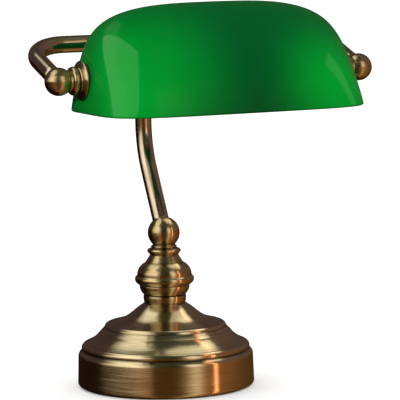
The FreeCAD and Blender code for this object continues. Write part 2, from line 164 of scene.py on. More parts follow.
def trace(path):
    """Points of an outline. A tuple (r, z) is a corner reached by a straight line; a list is a
    curve from the point before it: two points make an arc, more make a smooth curve."""
    points = [path[0]]
    for item in path[1:]:
        if isinstance(item, list):
            if len(item) == 2:
                points += arc_points(points[-1], *item)
            else:
                points += spline_points([points[-1]] + item)
        else:
            count = max(1, round(math.dist(points[-1], item) / LINE_STEP))
            a = points[-1]
            points += [
                (a[0] + (item[0] - a[0]) * i / count, a[1] + (item[1] - a[1]) * i / count)
                for i in range(1, count + 1)
            ]
    return points


def soften(points, edge=EDGE):
    """The closed outline with each sharp corner rounded over a short edge."""
    share_of_side = 0.42
    lead = 0.3
    steps = 4
    out = []
    count = len(points)
    for i, point in enumerate(points):
        before, after = points[i - 1], points[(i + 1) % count]
        back = Vector(before) - Vector(point)
        ahead = Vector(after) - Vector(point)
        turn = math.pi - back.angle(ahead, math.pi)
        if turn < SHARP_TURN or point[0] < TINY:
            out.append(point)
            continue
        reach = min(edge, share_of_side * back.length, share_of_side * ahead.length)
        start = Vector(point) + back.normalized() * reach
        end = Vector(point) + ahead.normalized() * reach
        out.append(tuple(start + back.normalized() * reach * lead))
        for step in range(steps + 1):
            t = step / steps
            mid = start * (1 - t) ** 2 + Vector(point) * 2 * t * (1 - t) + end * t * t
            out.append(tuple(mid))
        out.append(tuple(end + ahead.normalized() * reach * lead))
    return out


def bends(points):
    """How far each outline point lies on a ridge (above 0) or in a groove (below 0)."""
    spread = 0.7
    neighbours = 14
    count = len(points)
    turns = []
    for i in range(count):
        a = Vector(points[i]) - Vector(points[i - 1])
        b = Vector(points[(i + 1) % count]) - Vector(points[i])
        turns.append(math.atan2(a.x * b.y - a.y * b.x, a.dot(b)) if a.length and b.length else 0)
    out = []
    for i in range(count):
        total = 0
        for j in range(-neighbours, neighbours + 1):
            gap = math.dist(points[i], points[(i + j) % count])
            total += turns[(i + j) % count] * math.exp(-((gap / spread) ** 2))
        out.append(max(-1.0, min(1.0, total)))
    return out


# ---- meshes ----

SHORTEST_RUN = 0.5
RUN_STEP = 6
BEND_STEP = 2.5
LEAST_BEND_STEPS = 8
HOLE_SEGMENTS = 48


def new_mesh(name, vertices, faces, ridge_values=None):
    """Smooth-shaded mesh from points in millimetres, with how ridged each point is."""
    mesh = bpy.data.meshes.new(name)
    mesh.from_pydata([Vector(v) * MM for v in vertices], [], faces)
    if ridge_values:
        layer = mesh.attributes.new("ridge", "FLOAT", "POINT")
        layer.data.foreach_set("value", ridge_values)
    mesh.polygons.foreach_set("use_smooth", [True] * len(mesh.polygons))
    mesh.validate()
    return mesh


def turned(name, outline, segments, shape=None):
    """Mesh turned about Z from a closed outline. shape(r, z, angle) can move a point."""
    ridge = bends(outline)
    vertices, rings, values = [], [], []
    for (r, z), value in zip(outline, ridge):
        if r < TINY:
            rings.append([len(vertices)] * segments)
            vertices.append((0, 0, z))
            values.append(value)
            continue
        rings.append(list(range(len(vertices), len(vertices) + segments)))
        for step in range(segments):
            angle = math.tau * step / segments
            radius, height = shape(r, z, angle) if shape else (r, z)
            vertices.append((radius * math.cos(angle), radius * math.sin(angle), height))
            values.append(value)
    faces = []
    for here, there in zip(rings, rings[1:] + rings[:1]):
        if here[0] == here[1] and there[0] == there[1]:
            continue
        for step in range(segments):
            after = (step + 1) % segments
            face = [here[step], here[after], there[after], there[step]]
            faces.append(list(dict.fromkeys(face)))
    return new_mesh(name, vertices, faces, values)


def bent_path(points, radii):
    """Centre line of a bent bar: straight runs joined by tangent arcs, with its directions."""
    line = [(points[0], (points[1] - points[0]).normalized())]

    def run_to(target, direction):
        start = line[-1][0]
        if (target - start).length < SHORTEST_RUN:
            return
        count = max(1, round((target - start).length / RUN_STEP))
        for i in range(1, count + 1):
            line.append((start.lerp(target, i / count), direction))

    for before, corner, after, radius in zip(points, points[1:], points[2:], radii):
        arriving = (corner - before).normalized()
        leaving = (after - corner).normalized()
        turn = arriving.angle(leaving)
        reach = radius * math.tan(turn / 2)
        start = corner - arriving * reach
        axis = arriving.cross(leaving).normalized()
        inward = axis.cross(arriving)
        centre = start + inward * radius
        run_to(start, arriving)
        count = max(LEAST_BEND_STEPS, round(math.degrees(turn) / BEND_STEP))
        for i in range(1, count + 1):
            spin = Matrix.Rotation(turn * i / count, 3, axis)
            line.append((centre - (spin @ inward) * radius, spin @ arriving))
    run_to(points[-1], (points[-1] - points[-2]).normalized())
    return line


def swept(name, line, radius, side, segments, saddle=None):
    """Round bar along a flat path whose plane is square to side. saddle(point, direction) gives
    how far each point of the last ring moves along the bar."""
    vertices, faces = [], []
    for i, (centre, direction) in enumerate(line):
        across = side.cross(direction)
        for step in range(segments):
            angle = math.tau * step / segments
            point = centre + (side * math.cos(angle) + across * math.sin(angle)) * radius
            if saddle and i == len(line) - 1:
                point = point + direction * saddle(point, direction)
            vertices.append(point)
    last = (len(line) - 1) * segments
    for i in range(len(line) - 1):
        for step in range(segments):
            after = (step + 1) % segments
            a, b = i * segments, (i + 1) * segments
            faces.append([b + step, b + after, a + after, a + step])
    faces.append(list(range(segments)))
    faces.append([last + step for step in range(segments)][::-1])
    return new_mesh(name, vertices, faces)


def cut(mesh, cutter):
    """The mesh with the cutter's volume taken out of it."""
    body = add_object("cut_body", mesh)
    tool = add_object("cut_tool", cutter)
    change = body.modifiers.new("cut", "BOOLEAN")
    change.operation = "DIFFERENCE"
    change.solver = "EXACT"
    change.object = tool
    bpy.context.view_layer.update()
    graph = bpy.context.evaluated_depsgraph_get()
    result = bpy.data.meshes.new_from_object(body.evaluated_get(graph), depsgraph=graph)
    result.name = mesh.name
    bpy.data.objects.remove(body)
    bpy.data.objects.remove(tool)
    return result


def bar(radius, start, end):
    """Plain round bar between two points, for cutting holes."""
    direction = (end - start).normalized()
    side = direction.orthogonal().normalized()
    return swept("bar", [(start, direction), (end, direction)], radius, side, HOLE_SEGMENTS)


# ---- placing pieces ----


def add_object(name, data):
    """A new object in the scene that shows that data."""
    thing = bpy.data.objects.new(name, data)
    bpy.context.scene.collection.objects.link(thing)
    return thing


def place(name, mesh, body, node, slot, materials, matrix=None):
    """Puts a new piece in the scene in place of a CAD node."""
    piece = add_object(name, mesh)
    for material in materials:
        mesh.materials.append(material)
    if matrix is not None:
        piece.matrix_world = matrix
    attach(piece, body)
    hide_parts(node)


def standing(z):
    """Placement of a piece turned about the column, z millimetres up."""
    return Matrix.Translation((0, 0, z * MM))


def on_pivot(x, sign):
    """Placement of a piece turned about the tilt axis, its +Z outwards from x on that side."""
    shift = Matrix.Translation(Vector((sign * x, pivot.y, pivot.z)) * MM)
    return shift @ Matrix.Rotation(math.radians(90 * sign), 4, "Y")


# ---- materials ----

# Dark brown of the patina in the grooves, also used as painted shade in tight corners and between
# parts.
PATINA_AND_PAINTED_SHADE = (0.030, 0.016, 0.008, 1)
# Where a Mix node keeps its factor, its two colours and its mixed colour.
MIX_FACTOR, MIX_A, MIX_B = 0, 6, 7
MIX_RESULT = 2


def make(tree, kind, inputs=None, **settings):
    """Adds a shader node, with its settings, and its inputs as links or values."""
    node = tree.nodes.new("ShaderNode" + kind)
    for key, value in settings.items():
        setattr(node, key, value)
    for key, value in (inputs or {}).items():
        if isinstance(value, bpy.types.NodeSocket):
            tree.links.new(value, node.inputs[key])
        else:
            node.inputs[key].default_value = value
    return node


def colour_ramp(tree, factor, stops):
    """Colour that runs through the stops, each a position and a colour."""
    ramp = make(tree, "ValToRGB", {"Fac": factor})
    elements = ramp.color_ramp.elements
    while len(elements) < len(stops):
        elements.new(0.5)
    for element, (position, colour) in zip(elements, stops):
        element.position = position
        element.color = (*colour, 1)
    return ramp.outputs["Color"]


def span(tree, value, taken, given):
    """Maps the range taken onto the range given, and holds still past its ends."""
    limits = {"Value": value, 1: taken[0], 2: taken[1], 3: given[0], 4: given[1]}
    return make(tree, "MapRange", limits).outputs["Result"]


def math_node(tree, operation, a, b=0.0):
    return make(tree, "Math", {0: a, 1: b}, operation=operation).outputs[0]


def start_material(name, **sockets):
    """A material with its tree and shader, with these values on the shader's sockets."""
    material = bpy.data.materials.new(name)
    material.use_nodes = True
    shader = material.node_tree.nodes["Principled BSDF"]
    for key, value in sockets.items():
        shader.inputs[key.replace("_", " ")].default_value = value
    return material, material.node_tree, shader


def wire(shader, **links):
    """Links these outputs to the shader's sockets."""
    for key, output in links.items():
        shader.id_data.links.new(output, shader.inputs[key.replace("_", " ")])


def bump(tree, height, strength, depth):
    """Normal of a relief of that strength, whose full height is depth in metres."""
    settings = {"Height": height, "Strength": strength, "Distance": depth}
    return make(tree, "Bump", settings).outputs["Normal"]


def around(tree, lines_per_m, arc_detail):
    """Noise drawn out round the turning axis, as a brush leaves it: fine along the outline and
    long round the piece."""
    place_in = make(tree, "TexCoord").outputs["Object"]
    split = make(tree, "SeparateXYZ", {0: place_in})
    flat = make(tree, "CombineXYZ", {"X": split.outputs["X"], "Y": split.outputs["Y"]}).outputs[0]
    unit = make(tree, "VectorMath", {0: flat}, operation="NORMALIZE").outputs[0]
    radius = make(tree, "VectorMath", {0: flat}, operation="LENGTH").outputs["Value"]
    turn = make(tree, "SeparateXYZ", {0: unit})
    vector = make(tree, "CombineXYZ", {
        "X": math_node(tree, "MULTIPLY", turn.outputs["X"], arc_detail),
        "Y": math_node(tree, "MULTIPLY", turn.outputs["Y"], arc_detail),
        "Z": math_node(tree, "MULTIPLY", radius, lines_per_m),
    }).outputs[0]
    height = math_node(tree, "MULTIPLY", split.outputs["Z"], lines_per_m)
    settings = {"Vector": vector, "W": height, "Scale": 1.0, "Detail": 3.0, "Roughness": 0.6}
    noise = make(tree, "TexNoise", settings, noise_dimensions="4D")
    return noise.outputs["Fac"]


def cloud(tree, scale, detail=3.0):
    """Soft uneven patches."""
    place_in = make(tree, "TexCoord").outputs["Object"]
    settings = {"Vector": place_in, "Scale": scale, "Detail": detail}
    return make(tree, "TexNoise", settings).outputs["Fac"]


def blend_colours(tree, factor, a, b):
    """Colour between a and b, where each is a link or a colour with its alpha."""
    mix = make(tree, "Mix", {MIX_FACTOR: factor, MIX_A: a, MIX_B: b}, data_type="RGBA")
    return mix.outputs[MIX_RESULT]


def brass(name, light, dark, roughness, brushing, anisotropic):
    """Antique brass: lacquered, brushed round, dark patina in grooves, painted shade in tight corners
    and between parts, pale rubbed ridges.
    """
    material, tree, shader = start_material(
        name, Metallic=1.0, Anisotropic=anisotropic, Anisotropic_Rotation=0.25,
        Coat_Weight=0.35, Coat_Roughness=0.12)
    lines = around(tree, lines_per_m=1500, arc_detail=2.5)
    patches = cloud(tree, scale=38)
    tone = math_node(tree, "ADD", math_node(tree, "MULTIPLY", lines, 0.6),
                     math_node(tree, "MULTIPLY", patches, 0.4))
    colour = colour_ramp(tree, tone, [(0.36, dark), (0.64, light)])
    ridge = make(tree, "Attribute", attribute_name="ridge").outputs["Fac"]
    groove = span(tree, ridge, (-0.10, -0.7), (0.0, 0.85))
    colour = blend_colours(tree, groove, colour, PATINA_AND_PAINTED_SHADE)
    # Painted shade: where the ambient occlusion finds the surface closed in, at tight corners and
    # joins between parts, the colour is darkened to the patina brown.
    open_sky = make(tree, "AmbientOcclusion", {"Distance": 0.005}).outputs["AO"]
    crevice_painted_shade = span(tree, open_sky, (0.30, 0.80), (1.0, 0.0))
    colour = blend_colours(tree, crevice_painted_shade, colour, PATINA_AND_PAINTED_SHADE)
    rubbed = span(tree, ridge, (0.15, 0.9), (0.0, 0.5))
    polished = tuple(channel * 1.25 for channel in light) + (1,)
    colour = blend_colours(tree, rubbed, colour, polished)
    rough = span(tree, lines, (0.3, 0.7), (roughness - 0.05, roughness + 0.06))
    tangent = make(tree, "Tangent", direction_type="RADIAL", axis="Z").outputs[0]
    relief = bump(tree, lines, brushing, depth=0.0003)
    wire(shader, Base_Color=colour, Roughness=rough, Normal=relief, Tangent=tangent)
    return material


def tube_brass():
    """The bent tubes: smooth and bright, with a slight cloudiness in the lacquer."""
    material, tree, shader = start_material(
        "brass_tube", Metallic=1.0, Coat_Weight=0.4, Coat_Roughness=0.08)
    patches = cloud(tree, scale=55)
    fine = cloud(tree, scale=700)
    colour = colour_ramp(tree, patches, [(0.35, (0.50, 0.42, 0.31)), (0.65, (0.64, 0.55, 0.43))])
    rough = span(tree, fine, (0.3, 0.7), (0.11, 0.18))
    relief = bump(tree, fine, strength=0.05, depth=0.0002)
    wire(shader, Base_Color=colour, Roughness=rough, Normal=relief)
    return material


def green_glass():
    """Green outer layer of the cased glass, over its pale inner layer."""
    material, tree, shader = start_material(
        "green_glass", Roughness=0.08, IOR=1.5, Specular_IOR_Level=0.12,
        Specular_Tint=(0.5, 1, 0.5, 1))
    patches = cloud(tree, scale=14, detail=2.0)
    deep, bright = (0.0002, 0.080, 0.0150), (0.0002, 0.096, 0.0185)
    colour = colour_ramp(tree, patches, [(0.3, deep), (0.7, bright)])
    waves = bump(tree, cloud(tree, scale=22, detail=1.0), strength=0.12, depth=0.002)
    wire(shader, Base_Color=colour, Normal=waves)
    return material


def opal(name, colour_a, colour_b, roughness, scale):
    """Opal glass with faint clouding."""
    material, tree, shader = start_material(name, Coat_Weight=0.3)
    colour = colour_ramp(tree, cloud(tree, scale), [(0.3, colour_a), (0.7, colour_b)])
    rough = span(tree, cloud(tree, scale * 6), (0.3, 0.7), (roughness, roughness + 0.08))
    wire(shader, Base_Color=colour, Roughness=rough)
    return material


def plain(name, colour_a, colour_b, scale, roughness, metallic=0.0, relief=0.1, depth=0.0002):
    """A finish with fine grain: moulded plastic, rubber, plated or cast metal, felt."""
    material, tree, shader = start_material(name, Metallic=metallic)
    grain = cloud(tree, scale, detail=4.0)
    colour = colour_ramp(tree, grain, [(0.3, colour_a), (0.7, colour_b)])
    rough = span(tree, grain, (0.3, 0.7), (roughness - 0.06, roughness + 0.06))
    wire(shader, Base_Color=colour, Roughness=rough, Normal=bump(tree, grain, relief, depth))
    return material


brass_brushed = brass("brass_brushed", (0.64, 0.56, 0.38), (0.48, 0.40, 0.24),
                      roughness=0.18, brushing=0.18, anisotropic=0.86)
brass_turned = brass("brass_turned", (0.58, 0.49, 0.29), (0.43, 0.34, 0.18),
                     roughness=0.21, brushing=0.08, anisotropic=0.84)
brass_tube = tube_brass()
glass_green = green_glass()
glass_white = opal("glass_white", (0.60, 0.76, 0.60), (0.68, 0.82, 0.67), roughness=0.10, scale=30)
bulb_white = opal("bulb_white", (0.86, 0.85, 0.81), (0.92, 0.91, 0.88), roughness=0.22, scale=60)
nickel = plain("nickel", (0.55, 0.54, 0.51), (0.70, 0.69, 0.66),
               scale=300, roughness=0.28, metallic=1.0)
plain_brass = plain("plain_brass", (0.60, 0.44, 0.20), (0.74, 0.57, 0.29),
                    scale=260, roughness=0.30, metallic=1.0)
zinc = plain("zinc", (0.50, 0.51, 0.53), (0.66, 0.67, 0.69),
             scale=240, roughness=0.34, metallic=1.0)
iron = plain("iron", (0.030, 0.030, 0.032), (0.060, 0.060, 0.062),
             scale=500, roughness=0.62, relief=0.5, depth=0.0006)
felt = plain("felt", (0.012, 0.016, 0.013), (0.050, 0.056, 0.050),
             scale=1600, roughness=0.92, relief=0.9, depth=0.0006)
black_plastic = plain("black_plastic", (0.014, 0.014, 0.015), (0.030, 0.030, 0.032),
                      scale=900, roughness=0.42)
white_plastic = plain("white_plastic", (0.74, 0.73, 0.69), (0.84, 0.83, 0.80),
                      scale=700, roughness=0.38)
flex_sheath = plain("flex_sheath", (0.62, 0.56, 0.40), (0.78, 0.72, 0.54),
                    scale=500, roughness=0.5)
black_rubber = plain("black_rubber", (0.016, 0.016, 0.016), (0.034, 0.034, 0.034),
                     scale=800, roughness=0.62)


# ---- base ----

SHELL_WALL = 1.2
SHELL_LIP = 54.6
SHELL_HOLE = 5.2
EDGE_ROLL = 2.7
DRUM_INSIDE_TOP = 18.0
INLET_RADIUS = 4.5

dome = [
    (56.3, 19.8),
    [(56.0, 21.4), (54.9, 22.9)],
    (53.9, 24.1),
    [(53.95, 26.2), (51.9, 27.95)],
    [(48.0, 30.0), (45.1, 32.1), (43.2, 34.0), (42.3, 35.2)],
    (41.4, 35.9),
    (39.2, 38.4),
    [(38.6, 39.9), (36.9, 40.8)],
    [(32.4, 42.0), (26.7, 44.0), (22.0, 47.0), (18.3, 50.1), (14.2, 53.0)],
    (13.4, shell_top),
]


def base_shell():
    """Spun shell: rolled lower edge, drum, stepped dome, and its inside a wall further in."""
    mouth = low("base_shell").z
    lower_edge = [(SHELL_LIP, mouth), [(56.1, 1.2), (base_radius, EDGE_ROLL)]]
    outside = trace(lower_edge + dome + [(SHELL_HOLE, shell_top)])
    inside = [(r - SHELL_WALL, z - SHELL_WALL) for r, z in trace(dome)][::-1]
    inside = [(SHELL_HOLE, shell_top - SHELL_WALL)] + inside
    drum_inside = base_radius - SHELL_WALL
    inside += trace([(drum_inside, DRUM_INSIDE_TOP), (drum_inside, EDGE_ROLL), (SHELL_LIP, 1.6)])
    mesh = turned("base_shell_spun", soften(outside + inside), segments=224)
    inlet = Vector((0, base_radius, middle("cable_bushing").z))
    through = Vector((0, 8, 0))
    mesh = cut(mesh, bar(INLET_RADIUS, inlet - through, inlet + through))
    place("base_shell_spun", mesh, "stand", "base_shell", "antique_brass_brushed", [brass_brushed])


def felt_pad():
    thickness = high("felt_pad").z
    radius = high("felt_pad").x
    disc = soften(trace([(0, 0), (radius, 0), (radius, thickness), (0, thickness)]), edge=0.5)
    mesh = turned("felt_pad_soft", disc, segments=160)
    place("felt_pad_soft", mesh, "stand", "felt_pad", "felt", [felt])


def cable_bushing():
    """Rubber bushing: a barbed sleeve through the wall and a rounded collar outside it."""
    inward = low("cable_bushing").y - base_radius
    outward = high("cable_bushing").y - base_radius
    bore, neck, barb, collar = 3.3, 4.45, 5.1, 6.4
    barb_length = 1.3
    collar_back = -0.7
    bushing = soften(trace([
        (bore, inward), (barb, inward), (barb, inward + barb_length), (neck, inward + barb_length),
        (neck, collar_back), (collar, collar_back), (collar, outward - 0.7),
        [(6.1, outward - 0.2), (5.3, outward)], (3.9, outward),
        [(3.5, outward - 0.15), (bore, outward - 0.6)]]))
    centre = Vector((0, base_radius, middle("cable_bushing").z)) * MM
    facing_back = Matrix.Translation(centre) @ Matrix.Rotation(math.radians(-90), 4, "X")
    mesh = turned("cable_bushing_moulded", bushing, segments=72)
    place("cable_bushing_moulded", mesh, "stand", "cable_bushing", "black_plastic", [black_plastic],
          facing_back)


# ---- column ----

ROD_BORE = 5.1
BALL_NECK = 7.2

column_outlines = {
    "lower_vase": [(ROD_BORE, 0), (13.0, 0), [(13.75, 2.9), (13.55, 5.3)], (13.3, 5.6),
                   [(15.25, 7.9), (16.1, 11.5)], (15.8, 12.0), (ROD_BORE, 12.0)],
    "waist_ring": [(ROD_BORE, 0), (16.4, 0),
                   [(17.5, 0.7), (18.4, 1.55), (19.05, 3.2), (18.85, 4.7), (17.9, 5.9)],
                   (ROD_BORE, 5.9)],
    "upper_vase": [(ROD_BORE, 0), (17.5, 0),
                   [(17.4, 2.0), (16.3, 4.8), (14.3, 7.1), (12.5, 8.3)],
                   (12.0, 8.6), [(10.7, 10.8), (9.1, 13.3)], (ROD_BORE, 13.3)],
    "neck_collar": [(ROD_BORE, 0), (9.1, 0), (10.2, 1.6), [(10.85, 2.7), (10.2, 3.8)],
                    [(8.9, 4.3), (8.1, 5.0)], [(8.3, 5.5), (8.0, 6.0)], (ROD_BORE, 6.0)],
}


def ball_outline(radius, neck, foot):
    """Half outline of a ball on a neck that ends at foot, measured from the ball's centre."""
    neck_top = -math.sqrt(radius**2 - neck**2)
    return soften(trace([(0, foot), (neck, foot), (neck, neck_top), [(radius, 0), (0, radius)]]))


def column():
    for node, outline in column_outlines.items():
        name = node + "_turned"
        mesh = turned(name, soften(trace(outline)), segments=144)
        place(name, mesh, "stand", node, "antique_brass_turned", [brass_turned],
              standing(low(node).z))
    outline = ball_outline(ball_radius, BALL_NECK, low("column_ball").z - ball_centre.z)
    mesh = turned("column_ball_turned", outline, segments=128)
    place("column_ball_turned", mesh, "stand", "column_ball", "antique_brass_turned", [brass_turned],
          standing(ball_centre.z))


# ---- stem and yoke ----

TUBE_SEGMENTS = 72
SADDLE_SINK = 0.3


def to_bar(point, direction):
    """Distance along direction from a point to just inside the surface of the yoke's bar."""
    offset = Vector((0, point.y - yoke_bar.y, point.z - yoke_bar.z))
    along = offset.dot(direction)
    beside = offset.length_squared - along**2
    inside = max(0.0, (tube_radius - SADDLE_SINK) ** 2 - beside)
    return -along - math.sqrt(inside)


def stem():
    """The leaning and curving tube, from inside its ball to a saddle on the yoke's bar."""
    sunk_share = 0.45
    foot = ball_centre + stem_direction * (ball_radius * sunk_share)
    line = bent_path([foot, stem_corner, stem_top_corner, yoke_bar],
                     [stem_first_bend, stem_second_bend])
    end_direction = line[-1][1]
    clear_of_bar = tube_radius * 1.4
    while (line[-1][0] - yoke_bar).length < clear_of_bar:
        line.pop()
    line.append((yoke_bar - end_direction * tube_radius, end_direction))
    mesh = swept("stem_tube_bent", line, tube_radius, RIGHTWARDS, TUBE_SEGMENTS, to_bar)
    place("stem_tube_bent", mesh, "stand", "stem_tube", "antique_brass_tube", [brass_tube])


def yoke():
    """The U-shaped tube, from inside one side ball to inside the other."""
    reach = RIGHTWARDS * side_x
    arm_start = 5.0
    arm_end = pivot + yoke_direction * arm_start
    points = [arm_end - reach, yoke_bar - reach, yoke_bar + reach, arm_end + reach]
    line = bent_path(points, [yoke_bend] * 2)
    across = yoke_direction.cross(RIGHTWARDS).normalized()
    mesh = swept("yoke_tube_bent", line, tube_radius, across, TUBE_SEGMENTS)
    place("yoke_tube_bent", mesh, "stand", "yoke_tube", "antique_brass_tube", [brass_tube])


# ---- pivots ----

NIPPLE_BORE = 5.05
SIDE_BALL_NECK = 6.6
NUT_ACROSS_FLATS = 14
NUT_CORNER = 8.08
NUT_CHAMFER = 0.62
NUT_HEIGHT = 3
WASHER_THICKNESS = 0.7


def hexagonal(across_flats):
    """Turns a round outline into a hexagon, and leaves its bore and its chamfer round."""
    flat = across_flats / 2
    bore_side = flat - 0.5

    def shape(r, z, angle):
        if r < bore_side:
            return r, z
        wedge = (angle + math.pi / 6) % (math.pi / 3) - math.pi / 6
        limit = flat / math.cos(wedge)
        return min(r, limit), z

    return shape


def waved(r, z, angle):
    """Three shallow waves round a washer, thinned to leave room for them."""
    middle_height = WASHER_THICKNESS / 2
    thinning = 0.7
    wave = 0.09 * math.sin(3 * angle)
    return r, middle_height + (z - middle_height) * thinning + wave


def slotted(r, z, angle):
    """Four spanner slots in the rim of a ring, from its lower face up."""
    rim = 9.5
    half_width, slot_top, slot_depth = 1.75, 1.8, 2.0
    side_slope = 0.3
    if r <= rim:
        return r, z
    wedge = (angle + math.pi / 4) % (math.pi / 2) - math.pi / 4
    depth = min(1.0, max(0.0, (half_width - abs(r * math.sin(wedge))) / side_slope))
    depth *= min(1.0, max(0.0, (slot_top - z) / side_slope))
    return r - slot_depth * depth, z


def pivots():
    ball = ball_outline(side_ball_radius, SIDE_BALL_NECK, low("side_ball_right").x - side_x)
    collar = soften(trace([
        (NIPPLE_BORE, 0), (7.5, 0), [(8.8, 2.0), (7.5, 4.0)], (NIPPLE_BORE, 4.0)]))
    flange = soften(trace([
        (NIPPLE_BORE, 0), (7, 0), (7, 10.2), (11.7, 10.2), [(12.1, 10.65), (11.85, 11.2)],
        [(10.6, 12.1), (8.7, 12.9)], (8.2, 13.5), (NIPPLE_BORE, 13.5)]))
    spanner_ring = soften(trace([(7.05, 0), (11, 0), (11, 3), (7.05, 3)]), edge=0.3)
    nut = soften(trace([
        (NIPPLE_BORE, 0), (7.0, 0), (NUT_CORNER, NUT_CHAMFER), (NUT_CORNER, NUT_HEIGHT - NUT_CHAMFER),
        (7.0, NUT_HEIGHT), (NIPPLE_BORE, NUT_HEIGHT)]), edge=0.12)
    washer = soften(trace([
        (5.2, 0), (8.6, 0), (8.6, WASHER_THICKNESS), (5.2, WASHER_THICKNESS)]), edge=0.12)

    turned_brass = ("antique_brass_turned", [brass_turned])
    for sign, hand in ((1, "right"), (-1, "left")):
        mesh = turned("side_ball", ball, segments=112)
        place(f"side_ball_{hand}_turned", mesh, "stand", f"side_ball_{hand}", *turned_brass,
              on_pivot(side_x, sign))
        mesh = turned("side_collar", collar, segments=112)
        place(f"side_collar_{hand}_turned", mesh, "stand", f"side_collar_{hand}", *turned_brass,
              on_pivot(low("side_collar_right").x, sign))
        mesh = turned("flange", flange, segments=128)
        place(f"flange_{hand}_turned", mesh, "shade", f"flange_{hand}", *turned_brass,
              on_pivot(low("flange_right").x, sign))
        mesh = turned("ring_nut", spanner_ring, segments=240, shape=slotted)
        place(f"ring_nut_{hand}_slotted", mesh, "shade", f"ring_nut_{hand}", "plain_brass",
              [plain_brass], on_pivot(low("ring_nut_right").x, sign))
        mesh = turned("pivot_nut", nut, segments=96, shape=hexagonal(NUT_ACROSS_FLATS))
        place(f"pivot_nut_{hand}_hex", mesh, "stand", f"pivot_nut_{hand}", "zinc_steel", [zinc],
              on_pivot(low("pivot_nut_right").x, sign))
        mesh = turned("wave_washer", washer, segments=96, shape=waved)
        place(f"wave_washer_{hand}_waved", mesh, "stand", f"wave_washer_{hand}", "zinc_steel", [zinc],
              on_pivot(low("wave_washer_right").x, sign))


# ---- glass shade ----

GLASS_WALL = 3.0
# How much further the glass reaches at its rim than near its top, at each end, in front, behind.
END_FLARE = 6.9
FRONT_FLARE = 14.2
BACK_FLARE = -1.3
# Powers of the curves that close the ends and the long sides towards the top.
END_CLOSING = (6.3, 3.1)
SIDE_CLOSING = (1.92, 1.79)
# Power of the outline seen from above: at the top, and what it gains down to the rim.
FRONT_POWER = (2.4, 2.7)
BACK_POWER = (1.9, 3.9)
FLANGE_HOLE = 7.3

glass_rim = low("glass_shade").z
glass_top = high("glass_shade").z
glass_half_length = high("glass_shade").x - END_FLARE
glass_front = pivot.y - low("glass_shade").y - FRONT_FLARE
glass_back = high("glass_shade").y - pivot.y - BACK_FLARE


def closing(level, powers):
    """Share of its width that the glass keeps at a level, from 1 at the rim to 0 at the top."""
    return (1 - level ** powers[0]) ** (1 / powers[1])


def glass_point(height, inset, angle):
    """A point of the glass at that height: a rounded oblong, deeper in front of the pivot."""
    level = min(1.0, max(0.0, (height - glass_rim) / (glass_top - inset - glass_rim)))
    drop = 1 - level
    half_length = (glass_half_length - inset + END_FLARE * drop) * closing(level, END_CLOSING)
    c, s = math.cos(angle), math.sin(angle)
    reach, flare, powers = glass_front, FRONT_FLARE, FRONT_POWER
    if s > 0:
        reach, flare, powers = glass_back, BACK_FLARE, BACK_POWER
    depth = (reach - inset + flare * drop) * closing(level, SIDE_CLOSING)
    power = powers[0] + powers[1] * drop
    stretch = (abs(c) ** power + abs(s) ** power) ** (-1 / power)
    return Vector((half_length * c * stretch, pivot.y + depth * s * stretch, height))


def glass_shade():
    """One closed mesh, green outside and round two thirds of its rim, and pale from there in."""
    segments = 256
    steps = 72
    rim_steps, green_rim_steps = 12, 8
    rim = GLASS_WALL / 2
    outer_rise = glass_top - glass_rim - rim
    inner_rise = glass_top - GLASS_WALL - glass_rim - rim
    rows = []
    for i in range(steps):
        level = math.sin(math.pi / 2 * (1 - i / steps))
        rows.append((glass_rim + rim + outer_rise * level, 0.0))
    for i in range(rim_steps + 1):
        turn = math.pi * i / rim_steps
        rows.append((glass_rim + rim * (1 - math.sin(turn)), rim * (1 - math.cos(turn))))
    for i in range(1, steps + 1):
        level = math.sin(math.pi / 2 * i / steps)
        rows.append((glass_rim + rim + inner_rise * level, GLASS_WALL))
    vertices, faces, rings = [], [], []
    for height, inset in rows:
        if height >= glass_top - inset - TINY:
            rings.append([len(vertices)] * segments)
            vertices.append(Vector((0, pivot.y, height)))
            continue
        rings.append(list(range(len(vertices), len(vertices) + segments)))
        for step in range(segments):
            vertices.append(glass_point(height, inset, math.tau * step / segments))
    for here, there in zip(rings, rings[1:]):
        for step in range(segments):
            after = (step + 1) % segments
            faces.append(list(dict.fromkeys([here[step], there[step], there[after], here[after]])))
    mesh = new_mesh("glass_shade_blown", vertices, faces)
    first_pale_face = (steps + green_rim_steps) * segments
    for polygon in mesh.polygons:
        polygon.material_index = 1 if polygon.index >= first_pale_face else 0
    mesh.materials.append(glass_green)
    mesh.materials.append(glass_white)
    past_the_end = RIGHTWARDS * 100
    mesh = cut(mesh, bar(FLANGE_HOLE, pivot - past_the_end, pivot + past_the_end))
    place("glass_shade_blown", mesh, "shade", "glass_shade", "green_glass", [])


# ---- lampholder and bulb ----


def ribbed(r, z, angle):
    """Grip ribs round the lampholder's sleeve."""
    ribs, depth = 24, 0.35
    on_sleeve = r > 12.9 and 12.6 < z < 26.0
    return (r - depth * (0.5 + 0.5 * math.cos(ribs * angle)), z) if on_sleeve else (r, z)


def lampholder():
    """Cap and sleeve, screwed on the left nipple."""
    cap = soften(trace([
        (NIPPLE_BORE, 0), (8.5, 0), [(12.2, 1.7), (13.4, 5.3)], (13.4, 14.3), (11.4, 14.3),
        (11.4, 4.8), (NIPPLE_BORE, 4.8)]), edge=0.3)
    mesh = turned("lampholder_cap", cap, segments=112)
    place("lampholder_cap_moulded", mesh, "stand", "lampholder_cap", "white_plastic", [white_plastic],
          on_pivot(low("lampholder_cap").x, 1))
    body = soften(trace([
        (0, 0), (13.4, 0), (13.4, 6.0), (12.6, 7.0), (12.6, 11.0), (13.4, 12.0), (13.4, 26.8),
        (12.2, 28.0), (7.75, 28.0), (7.75, 4.0), (0, 4.0)]), edge=0.3)
    mesh = turned("lampholder_body", body, segments=192, shape=ribbed)
    place("lampholder_body_moulded", mesh, "stand", "lampholder_body", "white_plastic",
          [white_plastic], on_pivot(low("lampholder_body").x, 1))


